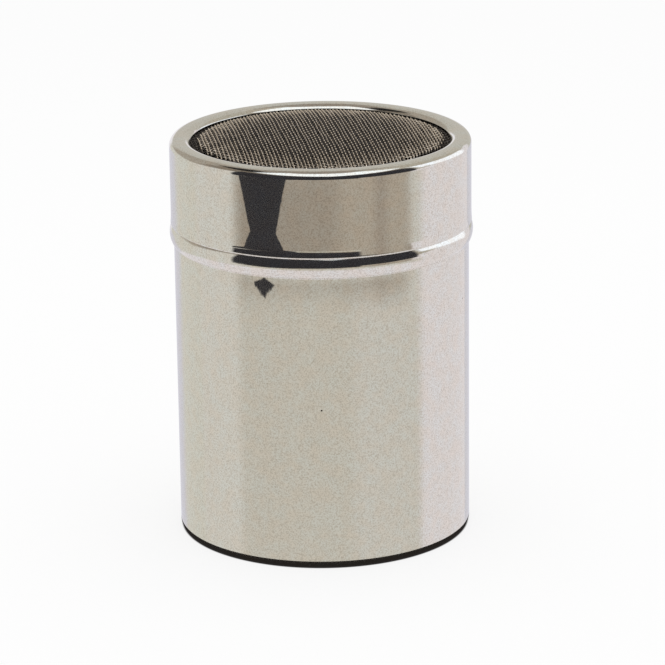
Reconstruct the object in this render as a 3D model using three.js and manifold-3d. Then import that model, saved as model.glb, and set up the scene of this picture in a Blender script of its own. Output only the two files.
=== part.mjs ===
// A push-on lid shaker for sugar, cocoa or flour, in pressed stainless steel.
// Four pieces: a drawn cup with a rolled stop bead, a drawn lid with a turned-in lip, a woven wire
// screen, and a pressed ring that holds the screen's border up against the lid's lip.
// Millimetres, +Z up, origin on the table at the centre of the cup's foot.
import * as THREE from "three";
import { mergeVertices } from "three/addons/utils/BufferGeometryUtils.js";
import Module from "manifold-3d";

const wasm = await Module();
wasm.setup();

// The cup: one deep-drawn sheet.
const cupRadius = 34.65; // outside of the straight wall
const cupSheet = 0.5;
const footCorner = 1.4; // outside radius between wall and foot
const footWidth = 2.6; // flat ring that stands on the table
const panelRise = 1.4; // how far the middle of the base is pushed up
const panelStep = 1.6; // how far the slope up to the panel runs inward
const panelFillet = 0.8;
const beadHeight = 72.4; // centre of the rolled bead that stops the lid
const beadHalfHeight = 2.6;
const beadRise = 0.95; // how far the bead stands out of the wall
const beadFillet = 0.6;
const mouthCurl = 0.65; // radius of the inward curl at the mouth

// The lid: one drawn sheet, pushed down over the cup's mouth until it meets the bead.
const lidHeight = 19.85; // from the skirt's lower edge to the top of the rim
const lidSheet = 0.5;
const fitClearance = 0.1; // between the cup's wall and the skirt, all round
const flareHeight = 2.4; // the skirt opens out a little above its lower edge
const flareRise = 0.18;
const rimCorner = 1.85; // outside radius between skirt and rim
const rimWidth = 4.9; // from the skirt's outside to the opening
const lipBend = 2.3; // outside radius with which the rim rolls down into the opening
const lipTurn = 58; // degrees that it turns before the sheet ends

// The ring that clamps the screen, pressed up inside the lid.
const ringSheet = 0.5;
const ringDepth = 3.4;
const ringFlange = 3.6; // width of the flat that bears on the screen's border
const ringBend = 0.9;
const pressGap = 0.05; // between pieces that are pressed together
const mouthGap = 0.5; // between the ring's lower edge and the cup's mouth

// The screen: woven wire cloth, pressed into a low dome with a flat border.
const wirePitch = 0.85; // 30 wires to the inch
const wireDiameter = 0.3;
const wiresPerBar = 5; // each bar of the solid net stands for this many wires
const weaveTurn = 7; // degrees that the weave lies off the front
const shoulderRise = 1.1; // steep part of the dome, close to the border
const crownRise = 0.9; // gentle part of the dome
const shoulderPower = 16; // the higher, the closer the steep part keeps to the border
const crownPower = 3;
const borderOverlap = 0.8; // how far the border reaches in under the foot of the dome
const domeGap = 0.95; // between the dome's foot and the lip
const borderCover = 0.05; // how much thicker the pressed border is than the net, each side

// How finely curves are cut.
const segments = 48;
const bendSteps = 3;
const filletSteps = 2;
const beadSteps = 4;
const lipSteps = 4;
const barSteps = 8;
const weldDistance = 1e-4; // points closer than this are one

const steel = { metalness: 1, roughness: 0.18 };
const finishes = {
  cup: new THREE.MeshStandardMaterial({ color: 0xcfcac2, ...steel }),
  lid: new THREE.MeshStandardMaterial({ color: 0xd2cdc6, ...steel }),
  ring: new THREE.MeshStandardMaterial({ color: 0xbfbab3, metalness: 1, roughness: 0.32 }),
  wire: new THREE.MeshStandardMaterial({ color: 0xa39d94, metalness: 1, roughness: 0.38 }),
};

// A line through corners given as [radius, height, bend], each bend rounded by an arc that touches
// both sides. Every point comes with its normal, on the left of the way the line runs.
function bentLine(corners) {
  const at = corners.map(([r, z]) => new THREE.Vector2(r, z));
  const left = (way) => new THREE.Vector2(-way.y, way.x);
  const out = [];
  const add = (point, normal) => {
    if (out.length && point.distanceTo(out.at(-1).point) < weldDistance) return;
    out.push({ point, normal });
  };
  at.forEach((corner, k) => {
    const before = k > 0 ? corner.clone().sub(at[k - 1]).normalize() : null;
    const after = k < at.length - 1 ? at[k + 1].clone().sub(corner).normalize() : null;
    const [, , bend = 0, steps = bendSteps] = corners[k];
    if (!before || !after || bend === 0) {
      add(corner, left(before ?? after));
      return;
    }
    const turn = Math.atan2(before.cross(after), before.dot(after));
    const side = Math.sign(turn);
    const start = corner.clone().addScaledVector(before, -bend * Math.tan(Math.abs(turn) / 2));
    const centre = start.clone().addScaledVector(left(before), side * bend);
    for (let s = 0; s <= steps; s++) {
      const normal = left(before).rotateAround(new THREE.Vector2(), (turn * s) / steps);
      add(centre.clone().addScaledVector(normal, -side * bend), normal);
    }
  });
  return out;
}

// The section of a sheet that follows a bent line, back along its left face and out along its right.
// Both free edges stand out of the line by half the sheet, with their corners broken.
function sheetSection(line, sheet) {
  const half = sheet / 2;
  const face = (side) =>
    line.map(({ point, normal }) => point.clone().addScaledVector(normal, side * half));
  const edge = ({ point, normal }, way, side) => {
    const along = new THREE.Vector2(normal.y, -normal.x);
    return point
      .clone()
      .addScaledVector(along, way * half)
      .addScaledVector(normal, (side * half) / 2);
  };
  const [start, end] = [line[0], line.at(-1)];
  return [
    ...face(1).reverse(),
    edge(start, -1, 1),
    edge(start, -1, -1),
    ...face(-1),
    edge(end, 1, -1),
    edge(end, 1, 1),
  ];
}

// A closed section or one that ends on the axis, turned about +Z.
function turned(section, closed) {
  const points = closed ? [...section, section[0].clone()] : section;
  return new THREE.LatheGeometry(points, segments).rotateX(Math.PI / 2);
}

function solidOf(geometry) {
  const bare = geometry.clone();
  bare.deleteAttribute("normal");
  bare.deleteAttribute("uv");
  const merged = mergeVertices(bare, weldDistance);
  return new wasm.Manifold(
    new wasm.Mesh({
      numProp: 3,
      vertProperties: merged.attributes.position.array,
      triVerts: new Uint32Array(merged.index.array),
    }),
  );
}

function geometryOf(solid) {
  const mesh = solid.getMesh();
  const geometry = new THREE.BufferGeometry();
  geometry.setAttribute("position", new THREE.BufferAttribute(mesh.vertProperties, mesh.numProp));
  geometry.setIndex(new THREE.BufferAttribute(mesh.triVerts, 1));
  geometry.computeVertexNormals();
  return geometry;
}

// Heights and radii that the pieces share.
const hemHeight = beadHeight + beadHalfHeight; // the skirt's edge meets the top of the bead
const topHeight = hemHeight + lidHeight;
const skirtInside = cupRadius + fitClearance;
const skirtMid = skirtInside + lidSheet / 2;
const skirtOutside = skirtInside + lidSheet;
const openingRadius = skirtOutside - rimWidth;
const lipRadians = THREE.MathUtils.degToRad(lipTurn);
const lipMidBend = lipBend - lidSheet / 2;
const lipEnd = topHeight - lipBend + lipMidBend * Math.cos(lipRadians) - lidSheet / 2;
const netThickness = 2 * wireDiameter; // one wire over another
const barDepth = (2 * netThickness) / 3; // crossed bars share the middle third, and so fuse
const layerOffset = (netThickness - barDepth) / 2;
const borderThickness = netThickness + 2 * borderCover;
const borderTop = lipEnd - pressGap;
const borderMiddle = borderTop - borderThickness / 2;
const ringTop = borderTop - borderThickness - pressGap;
const ringBottom = ringTop - ringDepth;
const mouthHeight = ringBottom - mouthGap;
const ringOutside = skirtInside - pressGap;

// The cup is one sheet: base panel, foot, wall, bead, and a curl at the mouth.
function makeCup() {
  const half = cupSheet / 2;
  const wall = cupRadius - half;
  const footInner = cupRadius - footCorner - footWidth;
  const panelRadius = footInner - panelStep;
  // The bead's crown and its two fillets are arcs that meet where the sheet leans by beadSlope.
  const beadSlope = 2 * Math.atan(beadRise / beadHalfHeight);
  const crownBend = beadHalfHeight / Math.sin(beadSlope) - beadFillet;
  const crownCorner = wall + beadRise + crownBend * (1 / Math.cos(beadSlope) - 1);
  const filletReach = beadFillet * Math.tan(beadSlope / 2);
  const curlCentre = new THREE.Vector2(cupRadius - mouthCurl, mouthHeight - mouthCurl);
  const line = bentLine([
    [0, panelRise + half],
    [panelRadius, panelRise + half, panelFillet, filletSteps],
    [footInner, half, panelFillet, filletSteps],
    [wall, half, footCorner - half],
    [wall, beadHeight - beadHalfHeight + filletReach, beadFillet, filletSteps],
    [crownCorner, beadHeight, crownBend, beadSteps],
    [wall, beadHeight + beadHalfHeight - filletReach, beadFillet, filletSteps],
    [wall, curlCentre.y],
  ]);
  const outside = line.map(({ point, normal }) => point.clone().addScaledVector(normal, -half));
  const inside = line.map(({ point, normal }) => point.clone().addScaledVector(normal, half));
  // The curl runs from the outside face over the top and round to the inside face.
  const meets = Math.acos((mouthCurl - cupSheet) / mouthCurl);
  const sweep = 2 * Math.PI - meets;
  const curlSteps = 2 * bendSteps;
  const curl = [];
  for (let s = 1; s <= curlSteps; s++) {
    const angle = (sweep * s) / curlSteps;
    const spoke = new THREE.Vector2(Math.cos(angle), Math.sin(angle));
    curl.push(curlCentre.clone().addScaledVector(spoke, mouthCurl));
  }
  inside.pop();
  return turned([...outside, ...curl, ...inside.reverse()], false);
}

// The lid's sheet: a flared edge, the skirt, the rim and a lip that turns down into the opening.
function makeLidShell() {
  const half = lidSheet / 2;
  // The flare is an arc that leaves the straight skirt smoothly and opens by flareRise at the edge.
  const flareRadius = (flareHeight ** 2 + flareRise ** 2) / (2 * flareRise);
  const flareAngle = Math.asin(flareHeight / flareRadius);
  const flareTangent = flareRadius * Math.tan(flareAngle / 2);
  // The lip is all arc: it ends where it has turned by lipTurn.
  const lipCorner = openingRadius + half + lipMidBend * Math.tan(lipRadians / 2) * Math.cos(lipRadians);
  const skirt = bentLine([
    [skirtMid + flareRise, hemHeight + half],
    [skirtMid, hemHeight + half + flareHeight - flareTangent, flareRadius],
    [skirtMid, topHeight - half, rimCorner - half],
    [lipCorner, topHeight - half, lipMidBend, lipSteps],
    [openingRadius + half, lipEnd + half],
  ]);
  return turned(sheetSection(skirt, lidSheet), true);
}

// The clamp ring's sheet: a flat that bears on the screen's border, bent down into a short wall.
function makeScreenRing() {
  const half = ringSheet / 2;
  const line = bentLine([
    [ringOutside - ringFlange + half, ringTop - half],
    [ringOutside - half, ringTop - half, ringBend - half],
    [ringOutside - half, ringBottom + half],
  ]);
  return turned(sheetSection(line, ringSheet), true);
}

// The screen's height over its border, at a distance from the axis.
function domeRise(radius, domeRadius) {
  const share = Math.min(radius / domeRadius, 1);
  return shoulderRise * (1 - share ** shoulderPower) + crownRise * (1 - share ** crownPower);
}

// The screen as one fused net on a pressed border. Crossed bars lie in two layers, as the wires do.
function makeScreen() {
  const domeRadius = openingRadius - domeGap;
  const borderInside = domeRadius - borderOverlap;
  const borderOutside = ringOutside - ringBend;
  const border = turned(
    [
      new THREE.Vector2(borderInside, borderMiddle - borderThickness / 2),
      new THREE.Vector2(borderOutside, borderMiddle - borderThickness / 2),
      new THREE.Vector2(borderOutside, borderMiddle + borderThickness / 2),
      new THREE.Vector2(borderInside, borderMiddle + borderThickness / 2),
    ],
    true,
  );
  const barPitch = wirePitch * wiresPerBar;
  // As much metal as the wires that the bar stands for.
  const barWidth = (wiresPerBar * Math.PI * (wireDiameter / 2) ** 2) / barDepth;
  const anchor = (domeRadius + borderOutside) / 2; // where the bars end, inside the border
  const bars = Math.floor((borderInside - barWidth) / barPitch);
  let net = solidOf(border);
  for (let k = -bars; k <= bars; k++) {
    const offset = k * barPitch;
    const foot = Math.sqrt(domeRadius ** 2 - offset ** 2);
    const end = Math.sqrt(anchor ** 2 - offset ** 2);
    for (const layer of [1, -1]) {
      // Two end steps run flat inside the border, and the rest follow the dome, closer at its foot.
      const bar = new THREE.BoxGeometry(barSteps + 2, barWidth, barDepth, barSteps + 2);
      const place = bar.getAttribute("position");
      for (let v = 0; v < place.count; v++) {
        const share = (2 * place.getX(v)) / barSteps;
        const flat = Math.abs(share) > 1;
        const along = flat ? end * Math.sign(share) : foot * Math.sin((share * Math.PI) / 2);
        const rise = domeRise(Math.hypot(along, offset), domeRadius);
        place.setX(v, along);
        place.setZ(v, place.getZ(v) + rise);
      }
      bar.translate(0, offset, borderMiddle + layer * layerOffset);
      if (layer === 1) bar.rotateZ(Math.PI / 2);
      net = net.add(solidOf(bar));
    }
  }
  return geometryOf(net).rotateZ(THREE.MathUtils.degToRad(weaveTurn));
}

const shaker = new THREE.Group();
const pieces = [
  ["cup", makeCup(), finishes.cup],
  ["lid_shell", makeLidShell(), finishes.lid],
  ["screen_ring", makeScreenRing(), finishes.ring],
  ["screen", makeScreen(), finishes.wire],
];
for (const [name, geometry, material] of pieces) {
  const piece = new THREE.Mesh(geometry, material);
  piece.name = name;
  shaker.add(piece);
}

export default shaker;
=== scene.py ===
"""A push-on lid shaker for sugar, cocoa or flour, in pressed stainless steel, dressed around its frame.

Three sub-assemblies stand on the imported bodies: the drawn cup, the drawn lid with its clamp ring, and
the woven wire screen. Each is turned or woven from its own section here and replaces its solid.
Sections are written in millimetres, and places that the frame knows are read from the frame.
"""

import logging
import math
from dataclasses import dataclass, field
from enum import Enum
from typing import Sequence

import bpy
import numpy as np
from mathutils import Matrix, Vector


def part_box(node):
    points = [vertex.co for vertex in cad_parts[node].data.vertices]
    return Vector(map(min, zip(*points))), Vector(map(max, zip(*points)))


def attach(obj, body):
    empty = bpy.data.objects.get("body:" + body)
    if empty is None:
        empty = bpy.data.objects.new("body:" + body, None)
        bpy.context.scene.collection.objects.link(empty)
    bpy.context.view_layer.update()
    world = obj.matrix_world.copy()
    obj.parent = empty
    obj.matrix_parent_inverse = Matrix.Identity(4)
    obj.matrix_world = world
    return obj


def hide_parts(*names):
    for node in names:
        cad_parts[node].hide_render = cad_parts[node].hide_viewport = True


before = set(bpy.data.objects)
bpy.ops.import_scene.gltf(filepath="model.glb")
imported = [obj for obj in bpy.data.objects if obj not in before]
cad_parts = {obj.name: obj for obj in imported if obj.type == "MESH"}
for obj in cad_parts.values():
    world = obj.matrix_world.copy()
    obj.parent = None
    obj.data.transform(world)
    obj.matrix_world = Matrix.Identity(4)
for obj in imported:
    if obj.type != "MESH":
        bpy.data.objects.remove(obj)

LOG = logging.getLogger("shaker")
MM = 0.001


class Slot(Enum):
    """The material slots."""

    POLISHED = "polished_steel"
    PLAIN = "plain_steel"
    WIRE = "steel_wire"


class Body(Enum):
    """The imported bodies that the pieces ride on."""

    CUP = "cup"
    LID = "lid"


# Sections


@dataclass(frozen=True)
class Corner:
    """A corner of a section, where two straight stretches would meet.

    Attributes:
        radius: Distance from the axis, in mm.
        height: Height over the table, in mm.
        bend: Radius of the arc that rounds the corner, in mm; 0 keeps it a point.
    """

    radius: float
    height: float
    bend: float = 0.0


@dataclass
class Section:
    """A line in the plane of radius and height, with the outward normal at each point.

    Attributes:
        points: One row of radius and height per point, in mm.
        normals: One unit row per point.
    """

    points: np.ndarray
    normals: np.ndarray

    def shifted(self, distance: float) -> "Section":
        """Returns the section moved along its normals by a distance in mm."""
        return Section(self.points + self.normals * distance, self.normals)

    @staticmethod
    def joined(parts: Sequence["Section"]) -> "Section":
        """Joins sections end to end.

        Args:
            parts: The sections, in order.

        Returns:
            One section that runs through all of them.
        """
        return Section(
            np.vstack([part.points for part in parts]),
            np.vstack([part.normals for part in parts]),
        )


ARC_STEP = math.radians(4.5)  # turn between two points of an arc
LEAST_ARC_STEPS = 6


def arc(centre: np.ndarray, radius: float, start: float, sweep: float) -> Section:
    """Traces a round stretch whose normals point away from its centre.

    Args:
        centre: Radius and height of the centre, in mm.
        radius: The arc's own radius, in mm.
        start: Angle of the first point, in radians from the outward direction.
        sweep: Signed angle to the last point, in radians.

    Returns:
        The arc, with its two ends.
    """
    steps = max(LEAST_ARC_STEPS, math.ceil(abs(sweep) / ARC_STEP))
    angles = start + sweep * np.linspace(0.0, 1.0, steps + 1)
    spokes = np.column_stack([np.cos(angles), np.sin(angles)])
    return Section(centre + radius * spokes, spokes)


def left_of(way: np.ndarray) -> np.ndarray:
    """Returns the unit vector on the left of a way."""
    return np.array([-way[1], way[0]])


def bent_line(corners: Sequence[Corner]) -> Section:
    """Runs a line through corners, each rounded by an arc that touches both of its sides.

    Args:
        corners: The corners, in order; the first and last are the line's ends.

    Returns:
        The line, with its normals on the left of the way it runs.
    """
    places = [np.array([corner.radius, corner.height]) for corner in corners]
    parts: list[Section] = []
    for index, corner in enumerate(corners):
        ways = [
            (b - a) / np.linalg.norm(b - a)
            for a, b in zip(places, places[1:])
        ][max(index - 1, 0) : index + 1]
        if len(ways) < 2 or corner.bend == 0.0 or index == 0:
            parts.append(Section(places[index][None, :], left_of(ways[0])[None, :]))
            continue
        before, after = ways
        turn = math.atan2(before[0] * after[1] - before[1] * after[0], float(before @ after))
        side = math.copysign(1.0, turn)
        start = places[index] - before * corner.bend * math.tan(abs(turn) / 2)
        centre = start + left_of(before) * side * corner.bend
        first = -side * left_of(before)
        bow = arc(centre, corner.bend, math.atan2(first[1], first[0]), turn)
        parts.append(Section(bow.points, -side * bow.normals))
    return Section.joined(parts)


def sheet_outline(line: Section, sheet: float) -> Section:
    """Gives a line the thickness of a sheet, with both free edges rounded over.

    Args:
        line: The middle of the sheet, run either way.
        sheet: Its thickness, in mm.

    Returns:
        The closed outline, back along the left face and out along the right one.
    """
    half = sheet / 2
    left, right = line.shifted(half), line.shifted(-half)
    first = line.normals[0]
    last = line.normals[-1]
    start_edge = arc(line.points[0], half, math.atan2(first[1], first[0]), math.pi)
    end_edge = arc(line.points[-1], half, math.atan2(-last[1], -last[0]), math.pi)
    return Section.joined(
        [
            Section(left.points[::-1], left.normals[::-1]),
            Section(start_edge.points[1:-1], start_edge.normals[1:-1]),
            Section(right.points, -right.normals),
            Section(end_edge.points[1:-1], end_edge.normals[1:-1]),
        ]
    )


# Meshes


TURNED_STEPS = 256  # faces round a turned piece


def add_mesh(
    name: str, points: np.ndarray, faces: list[list[int]], normals: np.ndarray
) -> bpy.types.Object:
    """Makes a smooth mesh object with its own point normals and links it to the scene.

    Args:
        name: The piece's name.
        points: One row per vertex, in mm.
        faces: Vertex indices of each face.
        normals: One unit row per vertex.

    Returns:
        The new object, in metres.
    """
    mesh = bpy.data.meshes.new(name)
    mesh.from_pydata((points * MM).tolist(), [], faces)
    mesh.shade_smooth()
    mesh.normals_split_custom_set_from_vertices(normals.tolist())
    mesh.update()
    piece = bpy.data.objects.new(name, mesh)
    bpy.context.scene.collection.objects.link(piece)
    return piece


def turn_section(name: str, section: Section, closed: bool, inside: range = range(0)) -> bpy.types.Object:
    """Turns a section about the vertical axis.

    Args:
        name: The piece's name.
        section: The outline, with the metal on the left of the way that it runs.
        closed: True for a ring-shaped outline, False for one that starts and ends on the axis.
        inside: The section's points that no polishing wheel reached; between them the piece takes its
            second material.

    Returns:
        The turned piece, closed in itself.
    """
    angles = np.linspace(0.0, 2 * math.pi, TURNED_STEPS, endpoint=False)
    cosines, sines = np.cos(angles), np.sin(angles)
    rings = range(len(section.points)) if closed else range(1, len(section.points) - 1)
    points: list[np.ndarray] = []
    normals: list[np.ndarray] = []
    for ring in rings:
        radius, height = section.points[ring]
        out, up = section.normals[ring]
        points.append(np.column_stack([radius * cosines, radius * sines, np.full(TURNED_STEPS, height)]))
        normals.append(np.column_stack([out * cosines, out * sines, np.full(TURNED_STEPS, up)]))
    count = len(points)
    faces: list[list[int]] = []
    rough: list[bool] = []
    for row in range(count if closed else count - 1):
        lower, upper = row * TURNED_STEPS, ((row + 1) % count) * TURNED_STEPS
        rough += [rings[row] in inside and rings[(row + 1) % count] in inside] * TURNED_STEPS
        for step in range(TURNED_STEPS):
            after = (step + 1) % TURNED_STEPS
            faces.append([lower + step, lower + after, upper + after, upper + step])
    if not closed:
        for end, row, flip in ((0, 0, True), (-1, count - 1, False)):
            pole = sum(len(block) for block in points)
            points.append(np.array([[0.0, 0.0, section.points[end][1]]]))
            normals.append(np.array([[0.0, 0.0, section.normals[end][1]]]))
            for step in range(TURNED_STEPS):
                rim = [row * TURNED_STEPS + step, row * TURNED_STEPS + (step + 1) % TURNED_STEPS]
                faces.append([pole, *(rim[::-1] if flip else rim)])
            rough += [rings[row] in inside] * TURNED_STEPS
    piece = add_mesh(name, np.vstack(points), faces, np.vstack(normals))
    piece.data.polygons.foreach_set("material_index", rough)
    return piece


# Materials


BYTE_TOP = 255
SRGB_KNEE = 0.04045  # below it the sRGB curve is a straight line
SRGB_SLOPE = 12.92
SRGB_OFFSET = 0.055
SRGB_POWER = 2.4
MIX_FIRST, MIX_SECOND = 6, 7  # a Mix node's colour inputs, by number
MIX_RESULT = 2  # its colour output
METAL = 1.0  # metallic of every finish here, all of bare steel


def linear(colour: str, alpha: float = 1.0) -> tuple[float, float, float, float]:
    """Turns an sRGB hex colour to the linear values that shader sockets take.

    Args:
        colour: Six hex digits.
        alpha: The fourth value.

    Returns:
        Red, green, blue and alpha.
    """
    parts = [int(colour[at : at + 2], 16) / BYTE_TOP for at in (0, 2, 4)]
    red, green, blue = (
        part / SRGB_SLOPE
        if part <= SRGB_KNEE
        else ((part + SRGB_OFFSET) / (1 + SRGB_OFFSET)) ** SRGB_POWER
        for part in parts
    )
    return red, green, blue, alpha


def add_node(
    tree: bpy.types.NodeTree, kind: str, inputs: dict | None = None, **settings: object
) -> bpy.types.Node:
    """Adds a node with its settings and links.

    Args:
        tree: The node tree.
        kind: The node's type.
        inputs: Values or output sockets for its inputs, by name or number.
        **settings: The node's own properties.

    Returns:
        The node.
    """
    node = tree.nodes.new(kind)
    for name, value in settings.items():
        setattr(node, name, value)
    for key, value in (inputs or {}).items():
        if isinstance(value, bpy.types.NodeSocket):
            tree.links.new(value, node.inputs[key])
        else:
            node.inputs[key].default_value = value
    return node


def blank_material(name: str) -> bpy.types.Material:
    """Returns a new material with an empty node tree."""
    material = bpy.data.materials.new(name)
    material.use_nodes = True
    material.node_tree.nodes.clear()
    return material


@dataclass(frozen=True)
class MirrorPolishedSteel:
    """Austenitic stainless sheet, deep drawn and then buffed to a mirror.

    Buffing leaves a clear mirror under a thin haze, with faint warmer and cooler clouds, a fine grain
    like the peel of an orange, shallow upright draw marks that fray the edges of what it mirrors, and
    here and there a pit. The grain is drawn a third of a millimetre wide, as coarse as it needs to show.
    """

    name: str = "mirror_polished_steel"
    warm: str = "e8e3d9"
    cool: str = "e6e8e3"
    dull: str = "ccc7bd"
    pit: str = "4a4641"
    mirror_roughness: float = 0.01
    haze_roughness: float = 0.24
    haze_share: float = 0.06
    cloud_mm: float = 3.0
    cloud_detail: float = 5.0
    cloud_span: tuple[float, float] = (0.36, 0.64)  # noise from all warm to all cool
    grain_mm: float = 0.34
    grain_detail: float = 1.0
    grain_span: tuple[float, float] = (0.42, 0.72)  # noise from clear to dull
    mark_mm: float = 0.7
    mark_stretch: float = 0.16  # how little the marks change along the draw
    mark_depth_mm: float = 0.0016
    pit_mm: float = 11.0  # mean distance between the places where a pit may lie
    pit_share: float = 0.02  # a pit's radius as a share of that distance

    def build(self) -> bpy.types.Material:
        """Returns the finish as a material."""
        material = blank_material(self.name)
        tree = material.node_tree
        place = add_node(tree, "ShaderNodeTexCoord").outputs["Object"]
        # Clouds: buffing leaves the sheet a little warmer here and cooler there.
        cloud = add_node(
            tree,
            "ShaderNodeTexNoise",
            {"Vector": place, "Scale": 1 / (self.cloud_mm * MM), "Detail": self.cloud_detail},
        )
        patch = add_node(
            tree,
            "ShaderNodeMapRange",
            {
                "Value": cloud.outputs["Fac"],
                "From Min": self.cloud_span[0],
                "From Max": self.cloud_span[1],
            },
        )
        tone = add_node(
            tree,
            "ShaderNodeMix",
            {
                "Factor": patch.outputs["Result"],
                MIX_FIRST: linear(self.warm),
                MIX_SECOND: linear(self.cool),
            },
            data_type="RGBA",
        )
        # Orange peel: a fine grain that dulls the mirror in specks.
        grain = add_node(
            tree,
            "ShaderNodeTexNoise",
            {"Vector": place, "Scale": 1 / (self.grain_mm * MM), "Detail": self.grain_detail},
        )
        dullness = add_node(
            tree,
            "ShaderNodeMapRange",
            {
                "Value": grain.outputs["Fac"],
                "From Min": self.grain_span[0],
                "From Max": self.grain_span[1],
            },
        )
        dulled = add_node(
            tree,
            "ShaderNodeMix",
            {
                "Factor": dullness.outputs["Result"],
                MIX_FIRST: tone.outputs[MIX_RESULT],
                MIX_SECOND: linear(self.dull),
            },
            data_type="RGBA",
        )
        # A few pits, dark specks up to 0.4 mm wide.
        cells = add_node(
            tree, "ShaderNodeTexVoronoi", {"Vector": place, "Scale": 1 / (self.pit_mm * MM)}
        )
        speck = add_node(
            tree,
            "ShaderNodeMath",
            {0: cells.outputs["Distance"], 1: self.pit_share},
            operation="LESS_THAN",
        )
        colour = add_node(
            tree,
            "ShaderNodeMix",
            {
                "Factor": speck.outputs[0],
                MIX_FIRST: dulled.outputs[MIX_RESULT],
                MIX_SECOND: linear(self.pit),
            },
            data_type="RGBA",
        )
        # Draw marks: ridges of a micrometre or so along the draw, which turn the mirror only sideways.
        upright = add_node(
            tree,
            "ShaderNodeVectorMath",
            {0: place, 1: (1.0, 1.0, self.mark_stretch)},
            operation="MULTIPLY",
        )
        marks = add_node(
            tree, "ShaderNodeTexNoise", {"Vector": upright.outputs[0], "Scale": 1 / (self.mark_mm * MM)}
        )
        ridges = add_node(
            tree,
            "ShaderNodeBump",
            {"Height": marks.outputs["Fac"], "Distance": self.mark_depth_mm * MM},
        )
        mirror = add_node(
            tree,
            "ShaderNodeBsdfPrincipled",
            {
                "Base Color": colour.outputs[MIX_RESULT],
                "Metallic": METAL,
                "Roughness": self.mirror_roughness,
                "Normal": ridges.outputs[0],
            },
        )
        haze = add_node(
            tree,
            "ShaderNodeBsdfPrincipled",
            {
                "Base Color": colour.outputs[MIX_RESULT],
                "Metallic": METAL,
                "Roughness": self.haze_roughness,
            },
        )
        surface = add_node(
            tree,
            "ShaderNodeMixShader",
            {"Fac": self.haze_share, 1: mirror.outputs["BSDF"], 2: haze.outputs["BSDF"]},
        )
        add_node(tree, "ShaderNodeOutputMaterial", {"Surface": surface.outputs[0]})
        return material


@dataclass(frozen=True)
class SatinSteel:
    """Stainless sheet as it leaves the press: cold rolled, satin and slightly cloudy."""

    name: str = "pressed_satin_steel"
    light: str = "c3bfb8"
    dark: str = "aba79f"
    roughness: float = 0.3
    patch_mm: float = 3.0
    patch_detail: float = 4.0
    patch_roughness: float = 0.6
    patch_span: tuple[float, float] = (0.3, 0.7)  # noise from all dark to all light

    def build(self) -> bpy.types.Material:
        """Returns the finish as a material."""
        material = blank_material(self.name)
        tree = material.node_tree
        place = add_node(tree, "ShaderNodeTexCoord").outputs["Object"]
        cloud = add_node(
            tree,
            "ShaderNodeTexNoise",
            {
                "Vector": place,
                "Scale": 1 / (self.patch_mm * MM),
                "Detail": self.patch_detail,
                "Roughness": self.patch_roughness,
            },
        )
        tone = add_node(tree, "ShaderNodeValToRGB", {"Fac": cloud.outputs["Fac"]})
        stops = tone.color_ramp.elements
        for stop, position, colour in zip(stops, self.patch_span, (self.dark, self.light)):
            stop.position = position
            stop.color = linear(colour)
        surface = add_node(
            tree,
            "ShaderNodeBsdfPrincipled",
            {"Base Color": tone.outputs["Color"], "Metallic": METAL, "Roughness": self.roughness},
        )
        add_node(tree, "ShaderNodeOutputMaterial", {"Surface": surface.outputs["BSDF"]})
        return material


CREST = "crest"  # mesh attribute: how high a point stands over the cloth's middle, in wire thicknesses, plus a painted sheen, and nought in the groove for painted shade
NOISE_MIDDLE = 0.5  # mean of Blender's noise


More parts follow.
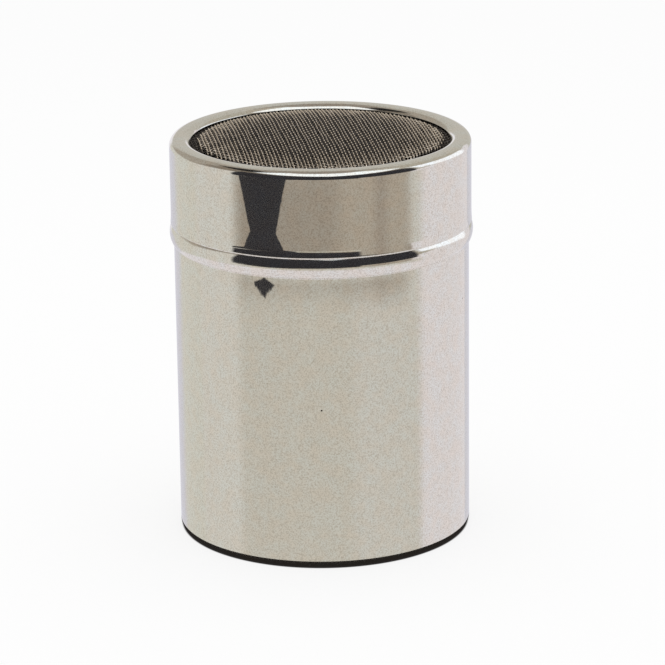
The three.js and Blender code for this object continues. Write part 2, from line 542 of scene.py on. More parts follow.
@dataclass(frozen=True)
class DrawnWireSteel:
    """Drawn stainless wire, woven, pressed to a dome and handled.

    The presses and wiping hands have burnished the knuckles that stand highest, and the crossings below
    keep the dull, darker surface left by the drawing die, with drag marks along each wire. That darkness of
    the low wire is partly painted shade, where the wires shade each other, and the knuckles also carry a
    painted sheen towards the dome's edge.
    """

    name: str = "drawn_wire_steel"
    burnished: str = "f3e7d6"
    # Dull colour: the die's dull surface, darkened further as painted shade between the wires.
    dull: str = "5e5853"
    drag: str = "3a3633"
    burnished_roughness: float = 0.12
    dull_roughness: float = 0.4
    crest_span: tuple[float, float] = (0.63, 0.77)  # from all dull, with its painted shade, to all burnished
    wear_mm: float = 4.0  # size of the patches that are more or less worn
    wear_share: float = 0.4  # how much of the crest's height their wear is worth
    drag_mm: float = 0.9
    drag_span: tuple[float, float] = (0.35, 0.65)

    def build(self) -> bpy.types.Material:
        """Returns the finish as a material."""
        material = blank_material(self.name)
        tree = material.node_tree
        place = add_node(tree, "ShaderNodeTexCoord").outputs["Object"]
        # The crest attribute: the wire's height, with a painted sheen towards the dome's edge and painted
        # shade in the groove; random patches of real wear are added to it.
        crest = add_node(tree, "ShaderNodeAttribute", attribute_name=CREST)
        patches = add_node(tree, "ShaderNodeTexNoise", {"Vector": place, "Scale": 1 / (self.wear_mm * MM)})
        wear = add_node(
            tree, "ShaderNodeMath", {0: patches.outputs["Fac"], 1: NOISE_MIDDLE}, operation="SUBTRACT"
        )
        handled = add_node(
            tree,
            "ShaderNodeMath",
            {0: wear.outputs[0], 1: self.wear_share, 2: crest.outputs["Fac"]},
            operation="MULTIPLY_ADD",
        )
        wear_and_light = add_node(
            tree,
            "ShaderNodeMapRange",
            {
                "Value": handled.outputs[0],
                "From Min": self.crest_span[0],
                "From Max": self.crest_span[1],
            },
            interpolation_type="SMOOTHSTEP",
        )
        cloud = add_node(
            tree, "ShaderNodeTexNoise", {"Vector": place, "Scale": 1 / (self.drag_mm * MM)}
        )
        drag = add_node(
            tree,
            "ShaderNodeMapRange",
            {"Value": cloud.outputs["Fac"], "From Min": self.drag_span[0], "From Max": self.drag_span[1]},
        )
        dull_and_shade = add_node(
            tree,
            "ShaderNodeMix",
            {
                "Factor": drag.outputs["Result"],
                MIX_FIRST: linear(self.dull),
                MIX_SECOND: linear(self.drag),
            },
            data_type="RGBA",
        )
        # The low wire: its dull surface with drag marks, dark also as painted shade between the wires.
        low = add_node(
            tree,
            "ShaderNodeBsdfPrincipled",
            {"Base Color": dull_and_shade.outputs[MIX_RESULT], "Metallic": METAL, "Roughness": self.dull_roughness},
        )
        high = add_node(
            tree,
            "ShaderNodeBsdfPrincipled",
            {
                "Base Color": linear(self.burnished),
                "Metallic": METAL,
                "Roughness": self.burnished_roughness,
            },
        )
        surface = add_node(
            tree,
            "ShaderNodeMixShader",
            {"Fac": wear_and_light.outputs["Result"], 1: low.outputs["BSDF"], 2: high.outputs["BSDF"]},
        )
        add_node(tree, "ShaderNodeOutputMaterial", {"Surface": surface.outputs[0]})
        return material


# Sub-assemblies


def box_mm(node: str) -> tuple[Vector, Vector]:
    """Returns the lowest and highest corner of a node of the frame, in mm."""
    low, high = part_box(node)
    return low / MM, high / MM


@dataclass
class DrawnCup:
    """The cup: one deep-drawn sheet with a raised base panel, a rolled stop bead and a curled mouth."""

    sheet: float = 0.5
    foot_bend: float = 1.4
    foot_width: float = 2.6
    panel_rise: float = 1.4
    panel_step: float = 1.6
    panel_bend: float = 0.8
    bead_height: float = 72.4
    bead_rise: float = 0.95
    bead_crown: float = 4.3  # radius of the broad crown
    bead_crown_turn: float = 27.0  # degrees by which the crown turns to either side
    bead_shoulder: float = 1.1
    bead_slope: float = 49.0  # degrees by which the shoulder's end leans out of the wall
    bead_fillet: float = 0.5
    lean_height: float = 69.2  # where the wall begins to lean out towards the bead
    lean_turn: float = 0.3  # degrees
    lean_bend: float = 477.0
    mouth_curl: float = 0.65
    wall_radius: float = field(init=False)
    mouth_height: float = field(init=False)

    def __post_init__(self) -> None:
        """Reads the wall and the mouth from the frame."""
        low, high = box_mm("cup")
        self.wall_radius = high.x - self.bead_rise
        self.mouth_height = high.z

    def middle(self) -> Section:
        """Returns the middle of the sheet, from the axis to below the mouth's curl."""
        half = self.sheet / 2
        wall = self.wall_radius - half
        foot_inner = self.wall_radius - self.foot_bend - self.foot_width
        turn, slope = math.radians(self.bead_crown_turn), math.radians(self.bead_slope)
        crown = wall + self.bead_rise + self.bead_crown * (1 / math.cos(turn) - 1)
        shoulder_reach = self.bead_shoulder * math.tan((slope - turn) / 2)
        side = self.bead_crown * math.tan(turn) + shoulder_reach
        shoulder = crown - side * math.sin(turn)
        shoulder_rise = side * math.cos(turn)
        foot_rise = shoulder_rise + (shoulder - wall) / math.tan(slope)
        foot_height = self.bead_height - foot_rise
        leant = wall + (foot_height - self.lean_height) * math.tan(math.radians(self.lean_turn))
        return bent_line(
            [
                Corner(0.0, self.panel_rise + half),
                Corner(foot_inner - self.panel_step, self.panel_rise + half, self.panel_bend),
                Corner(foot_inner, half, self.panel_bend),
                Corner(wall, half, self.foot_bend - half),
                Corner(wall, self.lean_height, self.lean_bend),
                Corner(leant, foot_height, self.bead_fillet),
                Corner(shoulder, self.bead_height - shoulder_rise, self.bead_shoulder),
                Corner(crown, self.bead_height, self.bead_crown),
                Corner(shoulder, self.bead_height + shoulder_rise, self.bead_shoulder),
                Corner(wall, self.bead_height + foot_rise, self.bead_fillet),
                Corner(wall, self.mouth_height - self.mouth_curl),
            ]
        )

    def build(self, finishes: dict[Slot, bpy.types.Material]) -> list[bpy.types.Object]:
        """Builds the cup and dresses it.

        Args:
            finishes: The finish of each slot.

        Returns:
            The cup's pieces.
        """
        half = self.sheet / 2
        line = self.middle()
        outside = Section(line.points - line.normals * half, -line.normals)
        inside = Section((line.points + line.normals * half)[::-1], line.normals[::-1])
        centre = np.array([self.wall_radius - self.mouth_curl, self.mouth_height - self.mouth_curl])
        meets = math.acos((self.mouth_curl - self.sheet) / self.mouth_curl)
        curl = arc(centre, self.mouth_curl, 0.0, 2 * math.pi - meets)
        section = Section.joined(
            [
                outside,
                Section(curl.points[1:], curl.normals[1:]),
                Section(inside.points[1:], inside.normals[1:]),
            ]
        )
        polished = len(outside.points) + len(curl.points) - 1
        inner = range(polished, len(section.points))
        piece = turn_section("cup_shell", section, closed=False, inside=inner)
        piece.data.materials.append(finishes[Slot.POLISHED])
        piece.data.materials.append(finishes[Slot.PLAIN])
        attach(piece, Body.CUP.value)
        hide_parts("cup")
        return [piece]


@dataclass
class DrawnLid:
    """The lid's sheet: skirt, rim, and a lip turned down into the opening."""

    sheet: float = 0.5
    solid_flare: float = 0.18  # how far the solid's hem stands out of its skirt
    hem_sink: float = 0.5  # how far the tucked hem reaches down over the bead
    tuck_turn: float = 20.0  # degrees by which the hem is tucked in
    tuck_bend: float = 0.5
    flare_height: float = 1.6
    flare_bend: float = 18.0
    lean_height: float = 2.7  # gentle lean above the flare
    lean_turn: float = 0.5  # degrees
    lean_bend: float = 450.0
    rim_corner: float = 1.85
    rim_width: float = 4.9
    lip_bend: float = 2.3
    lip_turn: float = 58.0
    skirt_outside: float = field(init=False)
    hem_height: float = field(init=False)
    top_height: float = field(init=False)

    def __post_init__(self) -> None:
        """Reads the skirt, the hem and the top from the frame."""
        low, high = box_mm("lid_shell")
        self.skirt_outside = high.x - self.solid_flare
        self.hem_height = low.z - self.hem_sink
        self.top_height = high.z

    def skirt_foot(self, skirt: float) -> list[Corner]:
        """Lays out the tucked hem, the flare and the lean over it.

        Args:
            skirt: Radius of the middle of the straight skirt.

        Returns:
            The corners, from the hem's end up.
        """
        lean = math.radians(self.lean_turn)
        flare = lean + self.flare_height / self.flare_bend
        tuck = math.radians(self.tuck_turn) - flare
        tuck_reach = self.tuck_bend * math.tan((tuck + flare) / 2)
        flare_reach = self.flare_bend * math.tan((flare - lean) / 2)
        hem = self.hem_height + self.sheet / 2
        turn_height = hem + tuck_reach * math.cos(tuck)
        corner_height = turn_height + (flare_reach + tuck_reach) * math.cos(flare)
        corner = skirt + self.lean_height * math.tan(lean)
        turn = corner + (flare_reach + tuck_reach) * math.sin(flare)
        return [
            Corner(turn - tuck_reach * math.sin(tuck), hem),
            Corner(turn, turn_height, self.tuck_bend),
            Corner(corner, corner_height, self.flare_bend),
            Corner(skirt, corner_height + self.lean_height, self.lean_bend),
        ]

    def middle(self) -> Section:
        """Returns the middle of the sheet, from the hem up and over to the lip's end."""
        half = self.sheet / 2
        skirt = self.skirt_outside - half
        turn = math.radians(self.lip_turn)
        bend = self.lip_bend - half
        reach = bend * math.tan(turn / 2)
        lip_end = self.skirt_outside - self.rim_width + half
        lip_corner = lip_end + reach * math.cos(turn)
        top = self.top_height - half
        return bent_line(
            [
                *self.skirt_foot(skirt),
                Corner(skirt, top, self.rim_corner - half),
                Corner(lip_corner, top, bend),
                Corner(lip_end, top - reach * math.sin(turn)),
            ]
        )

    def build(self, finishes: dict[Slot, bpy.types.Material]) -> list[bpy.types.Object]:
        """Builds the lid's sheet and dresses it.

        Args:
            finishes: The finish of each slot.

        Returns:
            The lid's pieces.
        """
        line = self.middle()
        outline = sheet_outline(line, self.sheet)
        piece = turn_section("lid_cover", outline, closed=True, inside=range(len(line.points)))
        piece.data.materials.append(finishes[Slot.POLISHED])
        piece.data.materials.append(finishes[Slot.PLAIN])
        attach(piece, Body.LID.value)
        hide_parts("lid_shell")
        return [piece]


@dataclass
class ClampRing:
    """The pressed ring that holds the screen's border up against the lid's lip."""

    sheet: float = 0.5
    flange: float = 3.6
    bend: float = 0.9
    outside: float = field(init=False)
    bottom: float = field(init=False)
    top: float = field(init=False)

    def __post_init__(self) -> None:
        """Reads the ring's place from the frame."""
        low, high = box_mm("screen_ring")
        self.outside = high.x
        self.bottom = low.z
        self.top = high.z

    def build(self, finishes: dict[Slot, bpy.types.Material]) -> list[bpy.types.Object]:
        """Builds the ring and dresses it.

        Args:
            finishes: The finish of each slot.

        Returns:
            The ring.
        """
        half = self.sheet / 2
        line = bent_line(
            [
                Corner(self.outside - self.flange + half, self.top - half),
                Corner(self.outside - half, self.top - half, self.bend - half),
                Corner(self.outside - half, self.bottom + half),
            ]
        )
        piece = turn_section("clamp_ring", sheet_outline(line, self.sheet), closed=True)
        piece.data.materials.append(finishes[Slot.PLAIN])
        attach(piece, Body.LID.value)
        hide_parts("screen_ring")
        return [piece]


@dataclass
class WovenScreen:
    """The plain-woven wire cloth, pressed into a low dome with a flat border.

    The weft is beaten up a little looser than the warp is set, and no wire lies quite straight.
    """

    warp_pitch: float = 0.85  # between the wires that run from front to back, 30 to the inch
    weft_pitch: float = 1.0  # between the wires that run from left to right
    wire: float = 0.34
    warp_crimp: float = 0.8  # the warp's share of the waves, which leaves the weft straighter
    weave_turn: float = 7.5  # degrees
    lift: float = 0.38  # from the solid's underside to the middle of the cloth
    margin: float = 0.2  # by which the cloth is cut smaller than the solid
    shoulder_rise: float = 0.6
    shoulder_foot: float = 29.4  # radius at which the cloth bends up out of its border
    shoulder_top: float = 27.9
    crown_rise: float = 1.22
    crown_power: float = 3.5
    crown_radius: float = 29.4
    sheen_from: float = 17.0  # radius from which a painted sheen lightens the crests more and more
    sheen_share: float = 0.3  # how much of a wire the painted sheen adds to the crest value, at the dome's edge
    groove_shade_power: float = 0.5  # how the wear and the painted sheen fade down the shoulder into the groove's painted shade: the lower, the further they reach
    set_jitter: float = 0.06  # how far a wire lies off its place
    sway: float = 0.06  # how far it strays to and fro along its run
    sway_length: tuple[float, float] = (9.0, 30.0)
    sides: int = 6
    steps_per_crossing: int = 4
    seed: int = 7
    border_middle: float = field(init=False)
    cut_radius: float = field(init=False)

    def __post_init__(self) -> None:
        """Reads the border's height and reach from the frame."""
        low, high = box_mm("screen")
        self.border_middle = low.z + self.lift
        self.cut_radius = high.y - self.margin

    def way_up(self, radius: np.ndarray) -> np.ndarray:
        """Returns how far up the dome's shoulder places are, from 0 on the border to 1 on the dome."""
        share = (self.shoulder_foot - radius) / (self.shoulder_foot - self.shoulder_top)
        share = np.clip(share, 0.0, 1.0)
        return share**2 * (3 - 2 * share)

    def height(self, radius: np.ndarray) -> np.ndarray:
        """Returns the cloth's middle height at distances from the axis, in mm."""
        crown = self.crown_rise * (1 - np.minimum(radius / self.crown_radius, 1.0) ** self.crown_power)
        return self.border_middle + self.shoulder_rise * self.way_up(radius) + crown

    def edge_sheen(self, radius: np.ndarray) -> np.ndarray:
        """Returns the painted sheen of places, how much it lightens their crests, as a share of the wire.

        It is a painted sheen that grows towards the dome's edge, standing in for a reflection there.

        Args:
            radius: Distances of the places from the axis, in mm.

        Returns:
            The shares.
        """
        out = np.clip((radius - self.sheen_from) / (self.shoulder_top - self.sheen_from), 0.0, 1.0)
        return self.sheen_share * out

    def strays(self, along: np.ndarray, draw: np.random.Generator) -> np.ndarray:
        """Returns how far a wire lies off its straight place at points along it, in mm."""
        length, phase = draw.uniform(*self.sway_length), draw.uniform(0.0, 2 * math.pi)
        return draw.normal(0.0, self.set_jitter) + self.sway * np.sin(2 * math.pi * along / length + phase)

    def wires(self, across: bool) -> tuple[np.ndarray, list[list[int]], np.ndarray, np.ndarray]:
        """Lays out one family of wires.

        Args:
            across: True for the weft, which runs from left to right, False for the warp.

        Returns:
            Points in mm, faces, point normals, and each point's crest value: how high it stands, in wire
            thicknesses, plus the painted sheen, and brought to nought in the groove as painted shade.
        """
        own, other = (self.weft_pitch, self.warp_pitch) if across else (self.warp_pitch, self.weft_pitch)
        crimp = self.wire * (1 - self.warp_crimp if across else self.warp_crimp)
        level = np.array([0.0, 1.0, 0.0]) if across else np.array([1.0, 0.0, 0.0])
        draw = np.random.default_rng(self.seed + across)
        angles = 2 * math.pi * np.arange(self.sides) / self.sides
        blocks: list[np.ndarray] = []
        outward: list[np.ndarray] = []
        crests: list[np.ndarray] = []
        faces: list[list[int]] = []
        base = 0
        count = int(self.cut_radius / own)
        for number in range(-count, count + 1):
            offset = number * own
            reach = math.sqrt(self.cut_radius**2 - offset**2)
            steps = max(2, round(2 * reach / other * self.steps_per_crossing))
            along = np.linspace(-reach, reach, steps + 1)
            side = offset + self.strays(along, draw)
            wave = (-1) ** number * np.cos(math.pi * along / other) * crimp
            x, y = (along, side) if across else (side, along)
            radius = np.hypot(x, y)
            cloth = self.height(radius)
            middle = np.column_stack([x, y, cloth + (wave if across else -wave)])
            tangent = np.gradient(middle, axis=0)
            tangent /= np.linalg.norm(tangent, axis=1)[:, None]
            flat = np.cross(tangent, np.cross(np.broadcast_to(level, tangent.shape), tangent))
            flat /= np.linalg.norm(flat, axis=1)[:, None]
            up = np.cross(tangent, flat)
            ring = (
                np.cos(angles)[None, :, None] * flat[:, None, :]
                + np.sin(angles)[None, :, None] * up[:, None, :]
            )
            block = middle[:, None, :] + ring * self.wire / 2
            blocks.append(block.reshape(-1, 3))
            outward.append(ring.reshape(-1, 3))
            stands = (block[:, :, 2] - cloth[:, None]) / self.wire
            wear_and_light = self.way_up(radius) ** self.groove_shade_power  # painted shade: the groove is kept all dull and dark
            # Crest value: height plus the painted sheen, brought to nought in the groove as painted shade.
            crests.append(((stands + self.edge_sheen(radius)[:, None]) * wear_and_light[:, None]).reshape(-1))
            for step in range(steps):
                row, after = base + step * self.sides, base + (step + 1) * self.sides
                for corner in range(self.sides):
                    beside = (corner + 1) % self.sides
                    faces.append([row + corner, row + beside, after + beside, after + corner])
            last = base + steps * self.sides
            faces.append([base + corner for corner in range(self.sides)][::-1])
            faces.append([last + corner for corner in range(self.sides)])
            base += (steps + 1) * self.sides
        turn = math.radians(self.weave_turn)
        rotation = np.array(
            [[math.cos(turn), -math.sin(turn), 0.0], [math.sin(turn), math.cos(turn), 0.0], [0.0, 0.0, 1.0]]
        )
        return (
            np.vstack(blocks) @ rotation.T,
            faces,
            np.vstack(outward) @ rotation.T,
            np.concatenate(crests),
        )

    def build(self, finishes: dict[Slot, bpy.types.Material]) -> list[bpy.types.Object]:
        """Weaves the screen and dresses it.

        Args:
            finishes: The finish of each slot.

        Returns:
            Warp and weft.
        """
        made = []
        for name, across in (("screen_warp", False), ("screen_weft", True)):
            points, faces, normals, crests = self.wires(across)
            piece = add_mesh(name, points, faces, normals)
            piece.data.attributes.new(CREST, "FLOAT", "POINT").data.foreach_set("value", crests)
            piece.data.materials.append(finishes[Slot.WIRE])
            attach(piece, Body.LID.value)
            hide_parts("screen")
            made.append(piece)
        return made


# Studio


HALF_TURN = 180.0  # degrees


@dataclass(frozen=True)
class Panel:
    """One plain area of the room around the shaker, as its steel mirrors it.

    Attributes:
        colour: What it shows, as an sRGB hex colour.
        middle: Direction of its middle, in degrees from the front, positive to the right.
        half_width: Degrees from the middle to either side.
        low: Elevation of its lower edge, in degrees.
        high: Elevation of its upper edge, in degrees.
        soft: Degrees over which its upright edges fade.
        soft_height: Degrees over which its lower and upper edges fade.
        climb: Degrees by which the lower edge climbs per degree away from the middle.
        lean: Degrees by which both level edges climb per degree to the right.
        gain: How many times as bright as its colour.
    """

    colour: str
    middle: float
    half_width: float
    low: float
    high: float
    soft: float = 3.0
    soft_height: float = 0.6
    climb: float = 0.0
    lean: float = 0.0
    gain: float = 1.0

    def cover(
        self, tree: bpy.types.NodeTree, azimuth: bpy.types.NodeSocket, elevation: bpy.types.NodeSocket
    ) -> bpy.types.NodeSocket:
        """Adds the nodes that tell how much of a direction the panel fills.

        Args:
            tree: The world's node tree.
            azimuth: Socket with the direction's azimuth, in degrees.
            elevation: Socket with its elevation, in degrees.

        Returns:
            A socket from 0, outside, to 1, inside.
        """
        offset = add_node(tree, "ShaderNodeMath", {0: azimuth, 1: self.middle}, operation="SUBTRACT")
        turned = add_node(
            tree, "ShaderNodeMath", {0: offset.outputs[0], 1: HALF_TURN, 2: -HALF_TURN}, operation="WRAP"
        )
        away = add_node(tree, "ShaderNodeMath", {0: turned.outputs[0]}, operation="ABSOLUTE")
        level = add_node(
            tree,
            "ShaderNodeMath",
            {0: turned.outputs[0], 1: -self.lean, 2: elevation},
            operation="MULTIPLY_ADD",
        )
        above = add_node(
            tree,
            "ShaderNodeMath",
            {0: away.outputs[0], 1: -self.climb, 2: level.outputs[0]},
            operation="MULTIPLY_ADD",
        )
        edges = (
            (away, self.half_width, -self.soft),
            (above, self.low, self.soft_height),
            (level, self.high, -self.soft_height),
        )
        covers = [
            add_node(
                tree,
                "ShaderNodeMapRange",
                {"Value": value.outputs[0], "From Min": edge - fade / 2, "From Max": edge + fade / 2},
                interpolation_type="SMOOTHSTEP",
            ).outputs["Result"]
            for value, edge, fade in edges
        ]
        beside = add_node(tree, "ShaderNodeMath", {0: covers[0], 1: covers[1]}, operation="MULTIPLY")
        inside = add_node(
            tree, "ShaderNodeMath", {0: beside.outputs[0], 1: covers[2]}, operation="MULTIPLY"
        )
        return inside.outputs[0]


# The room as the steel shows it, later ones over earlier ones: a pale table below the horizon, a dark
# room in front, pale walls to the left, the right and behind, and a white screen overhead. The colours
# come from tones measured in the photograph: some are as measured, divided by the steel's own colour,
# and the rest were moved on from such tones by comparing renders with the photograph.
ROOM_COLOUR = "9f968e"
ROOM = (
    Panel("cbc8c1", 180.0, 45.0, -90.0, 58.0, soft=16.0, soft_height=8.0),  # wall behind
    Panel("b2aaa0", -128.0, 24.0, 0.0, 66.0, soft=12.0, soft_height=8.0),  # its shaded side
    Panel("c0baaf", 107.0, 31.0, 0.0, 75.0, soft=8.0, soft_height=8.0),  # wall on the right, high up
    Panel("dfddd6", -120.0, 36.0, -90.0, 6.0, soft=12.0, soft_height=8.0),  # table on the far left
    Panel("e1ded9", -84.0, 26.0, -90.0, 20.0, soft=4.0, soft_height=7.0, lean=0.5),  # wall on the left
    Panel("dcdbe5", 180.0, 34.0, -90.0, -9.0, soft=14.0, soft_height=4.0),  # table behind
    Panel("f4f2fa", 180.0, 7.0, -90.0, -8.0, soft=6.0, soft_height=4.0),  # its bright middle
    Panel("f8f6fc", -172.0, 14.0, -12.0, 7.0, soft=8.0, soft_height=4.0),  # and the far side of it
    Panel("f0ebf0", 110.0, 39.0, -90.0, 9.0, soft_height=4.0, lean=0.2),  # table on the right
    Panel("f1f5ff", 108.0, 28.0, 2.0, 30.0, soft=6.0, soft_height=6.0, lean=-0.4, gain=1.38),  # lit wall
    Panel("d6d2ca", 6.0, 74.0, -90.0, -14.3, soft=13.0),  # table in front
    Panel("dbd8d3", 52.0, 28.0, -90.0, -14.3, soft=20.0),  # its lighter right
    Panel("aaa095", 0.0, 68.0, -16.4, -14.3, soft=16.0, soft_height=1.2),  # its far side
    Panel("bab0a4", 41.0, 28.0, -16.4, -6.0, soft=18.0, soft_height=1.2),  # and on the right, a low box
    Panel("aca196", 46.0, 5.0, -16.4, -6.0, soft=10.0, soft_height=1.2),  # with a shaded edge
    Panel("d3cfc3", -20.0, 50.0, -14.3, -13.2, soft=4.0, soft_height=0.3),  # its far edge
    Panel("f0ebf0", 0.0, 180.0, -90.0, -25.0, soft_height=5.0),  # table close by
    Panel("8f857a", -74.0, 32.0, 26.0, 64.0, soft=10.0, soft_height=10.0),  # the dim room, high up
    Panel("221f1e", -92.0, 30.0, 47.0, 66.0, soft=22.0, soft_height=7.0),  # and its darkest corner
    Panel("323136", -20.5, 49.5, -12.8, 38.0, soft=4.0, soft_height=0.5, climb=0.02),  # the dark room
    Panel("323136", 48.0, 28.0, -6.0, 38.0, soft=4.0, soft_height=2.0),  # the dark room over the box
    Panel("323136", -45.0, 26.0, -16.6, -12.4, soft_height=0.1, climb=0.105),  # a stand in it
    Panel("323136", -45.3, 8.5, -16.63, -12.4, soft=0.6, soft_height=0.06, climb=0.025),  # and its foot
    Panel("f6faff", 9.0, 75.0, 34.0, 75.0, soft=14.0, soft_height=2.5, climb=0.2, gain=1.33),  # screen
)
WHITE = "ffffff"


@dataclass(frozen=True)
class Studio:
    """White ground with a soft shadow and a painted shadow round the foot for the camera, and the room,
    with that painted shadow, for the steel to mirror.

    Attributes:
        foot_radius: Radius of the cup's outside at the foot, in mm.
        fill: Plain light from all round for what isn't mirrored.
        lamp_power: Power of the soft lamp overhead, in watts.
        lamp_size: Side of that lamp, in metres.
        lamp_height: Height of that lamp, in metres.
        floor_reach: Radius of the floor, in metres.
        floor_sides: Number of sides of its outline.
        shade_share: How much of the lamp's shadow shows on the white ground.
        contact_reach: How near the floor has to be for the steel to mirror the painted shadow under it, the
            dark line at the foot, in mm.
        contact_fade: Over how many mm the painted shadow under the foot's rounded corner fades out.
        contact_shadow_colour: The colour of that painted shadow, as an sRGB hex colour.
    """

    foot_radius: float
    fill: float = 0.75
    lamp_power: float = 2.0
    lamp_size: float = 0.6
    lamp_height: float = 0.9
    floor_reach: float = 30.0
    floor_sides: int = 96
    shade_share: float = 0.2
    contact_reach: float = 4.8
    contact_fade: float = 0.5
    contact_shadow_colour: str = "2a2726"

    def world(self) -> bpy.types.World:
        """Makes the room.

        Returns:
            The world, set on the scene.
        """
        world = bpy.data.worlds.new("studio_room")
        world.use_nodes = True
        tree = world.node_tree
        tree.nodes.clear()
        way = add_node(tree, "ShaderNodeTexCoord").outputs["Generated"]
        parts = add_node(tree, "ShaderNodeSeparateXYZ", {"Vector": way})
        height = add_node(tree, "ShaderNodeMath", {0: parts.outputs["Z"]}, operation="ARCSINE")
        elevation = add_node(tree, "ShaderNodeMath", {0: height.outputs[0]}, operation="DEGREES")
        front = add_node(tree, "ShaderNodeMath", {0: parts.outputs["Y"], 1: -1.0}, operation="MULTIPLY")
        bearing = add_node(
            tree, "ShaderNodeMath", {0: parts.outputs["X"], 1: front.outputs[0]}, operation="ARCTAN2"
        )
        azimuth = add_node(tree, "ShaderNodeMath", {0: bearing.outputs[0]}, operation="DEGREES")
        seen = add_node(tree, "ShaderNodeRGB")
        seen.outputs[0].default_value = linear(ROOM_COLOUR)
        room = seen.outputs[0]
        for panel in ROOM:
            red, green, blue, alpha = linear(panel.colour)
            bright = (red * panel.gain, green * panel.gain, blue * panel.gain, alpha)
            layer = add_node(
                tree,
                "ShaderNodeMix",
                {
                    "Factor": panel.cover(tree, azimuth.outputs[0], elevation.outputs[0]),
                    MIX_FIRST: room,
                    MIX_SECOND: bright,
                },
                data_type="RGBA",
            )
            room = layer.outputs[MIX_RESULT]
        # The camera sees plain white, and everything that mirrors or bends its rays sees the room, as
        # the photograph's steel does.
        rays = add_node(tree, "ShaderNodeLightPath")
        mirrored = add_node(
            tree,
            "ShaderNodeMath",
            {0: rays.outputs["Is Glossy Ray"], 1: rays.outputs["Is Transmission Ray"]},
            operation="MAXIMUM",
        )
        plain = add_node(tree, "ShaderNodeBackground", {"Color": linear(WHITE), "Strength": self.fill})
        studio = add_node(tree, "ShaderNodeBackground", {"Color": room})
        white = add_node(tree, "ShaderNodeBackground", {"Color": linear(WHITE)})
        lit = add_node(
            tree,
            "ShaderNodeMixShader",
            {"Fac": mirrored.outputs[0], 1: plain.outputs[0], 2: studio.outputs[0]},
        )
        shown = add_node(
            tree,
            "ShaderNodeMixShader",
            {"Fac": rays.outputs["Is Camera Ray"], 1: lit.outputs[0], 2: white.outputs[0]},
        )
        add_node(tree, "ShaderNodeOutputWorld", {"Surface": shown.outputs[0]})
        bpy.context.scene.world = world
        return world

    def floor_material(self) -> bpy.types.Material:
        """Makes the floor's material.

        Returns:
            White with a faint shadow and a painted shadow round the foot for the camera; for the steel, the
            room's own table with a painted shadow, a dark ring, where the cup meets it.
        """
        material = blank_material("white_ground")
        tree = material.node_tree
        rays = add_node(tree, "ShaderNodeLightPath")
        # For the steel, floor nearer than contact_reach is painted shadow, the dark line at the foot;
        # farther floor is clear and shows the room.
        beyond = add_node(
            tree,
            "ShaderNodeMath",
            {0: rays.outputs["Ray Length"], 1: self.contact_reach * MM},
            operation="GREATER_THAN",
        )
        # Painted shadow: a dark emission where the floor lies in the cup's shade.
        dark = add_node(tree, "ShaderNodeEmission", {"Color": linear(self.contact_shadow_colour)})
        clear = add_node(tree, "ShaderNodeBsdfTransparent")
        mirrored = add_node(
            tree, "ShaderNodeMixShader", {"Fac": beyond.outputs[0], 1: dark.outputs[0], 2: clear.outputs[0]}
        )
        shade = add_node(tree, "ShaderNodeBsdfDiffuse", {"Color": linear(WHITE)})
        white = add_node(tree, "ShaderNodeEmission", {"Color": linear(WHITE)})
        ground = add_node(
            tree, "ShaderNodeMixShader", {"Fac": self.shade_share, 1: white.outputs[0], 2: shade.outputs[0]}
        )
        # Painted shadow: the narrow gap under the foot's rounded corner is painted dark, and the painted
        # shadow fades out just inside its outline.
        place = add_node(tree, "ShaderNodeNewGeometry").outputs["Position"]
        radius = add_node(tree, "ShaderNodeVectorMath", {0: place}, operation="LENGTH")
        contact_shadow_mask = add_node(
            tree,
            "ShaderNodeMapRange",
            {
                "Value": radius.outputs["Value"],
                "From Min": (self.foot_radius - self.contact_fade) * MM,
                "From Max": self.foot_radius * MM,
                "To Min": 1.0,
                "To Max": 0.0,
            },
            interpolation_type="SMOOTHSTEP",
        )
        shaded = add_node(
            tree,
            "ShaderNodeMixShader",
            {"Fac": contact_shadow_mask.outputs["Result"], 1: ground.outputs[0], 2: dark.outputs[0]},
        )
        indirect = add_node(
            tree,
            "ShaderNodeMath",
            {0: rays.outputs["Is Glossy Ray"], 1: rays.outputs["Is Transmission Ray"]},
            operation="MAXIMUM",
        )
        surface = add_node(
            tree,
            "ShaderNodeMixShader",
            {"Fac": indirect.outputs[0], 1: shaded.outputs[0], 2: mirrored.outputs[0]},
        )
        add_node(tree, "ShaderNodeOutputMaterial", {"Surface": surface.outputs[0]})
        return material

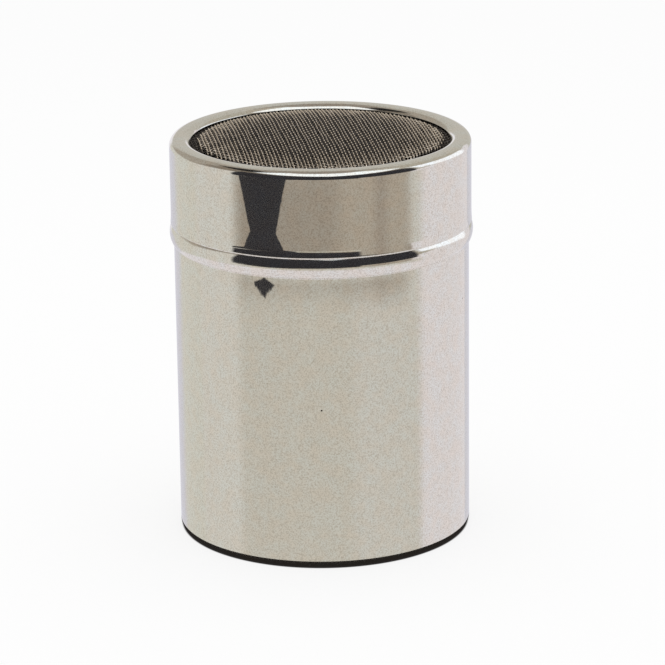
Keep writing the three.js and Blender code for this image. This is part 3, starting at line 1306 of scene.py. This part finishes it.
    def build(self) -> None:
        """Adds the world, the floor and the lamp."""
        self.world()
        bpy.ops.mesh.primitive_circle_add(
            vertices=self.floor_sides, radius=self.floor_reach, fill_type="NGON"
        )
        floor = bpy.context.object
        floor.name = "ground"
        floor.data.materials.append(self.floor_material())
        data = bpy.data.lights.new("soft_lamp", "AREA")
        data.energy = self.lamp_power
        data.size = self.lamp_size
        lamp = bpy.data.objects.new("soft_lamp", data)
        lamp.location = (0.0, 0.0, self.lamp_height)
        lamp.visible_glossy = False
        bpy.context.scene.collection.objects.link(lamp)


@dataclass(frozen=True)
class ViewPoint:
    """The photograph's camera: place, aim and reach in metres, roll in degrees, lens and sensor in mm."""

    place: tuple[float, float, float] = (0.0, -0.77915, 0.28769)
    aim: tuple[float, float, float] = (0.00230, 0.0, 0.04646)
    roll: float = -0.729
    lens: float = 186.19
    sensor: float = 36.0
    reach: float = 10.0

    def build(self) -> bpy.types.Object:
        """Adds the camera and makes it the scene's.

        Returns:
            The camera.
        """
        data = bpy.data.cameras.new("photo_camera")
        data.lens = self.lens
        data.sensor_width = self.sensor
        data.clip_end = self.reach
        camera = bpy.data.objects.new("photo_camera", data)
        bpy.context.scene.collection.objects.link(camera)
        away = (Vector(self.aim) - Vector(self.place)).normalized()
        right = away.cross(Vector((0.0, 0.0, 1.0))).normalized()
        up = right.cross(away)
        lean = math.radians(self.roll)
        side = right * math.cos(lean) + up * math.sin(lean)
        top = up * math.cos(lean) - right * math.sin(lean)
        turned = Matrix((side, top, -away)).transposed().to_4x4()
        camera.matrix_world = Matrix.Translation(Vector(self.place)) @ turned
        bpy.context.scene.camera = camera
        return camera


def main() -> None:
    """Builds the sub-assemblies and the studio, in order."""
    logging.basicConfig(level=logging.INFO, format="%(name)s: %(message)s")
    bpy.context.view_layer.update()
    finishes = {
        Slot.POLISHED: MirrorPolishedSteel().build(),
        Slot.PLAIN: SatinSteel().build(),
        Slot.WIRE: DrawnWireSteel().build(),
    }
    cup = DrawnCup()
    for assembly in (cup, DrawnLid(), ClampRing(), WovenScreen()):
        for piece in assembly.build(finishes):
            LOG.info("%s: %d faces", piece.name, len(piece.data.polygons))
    Studio(foot_radius=cup.wall_radius).build()
    ViewPoint().build()
    bpy.context.scene.view_settings.view_transform = "Standard"


if __name__ == "__main__":
    main()
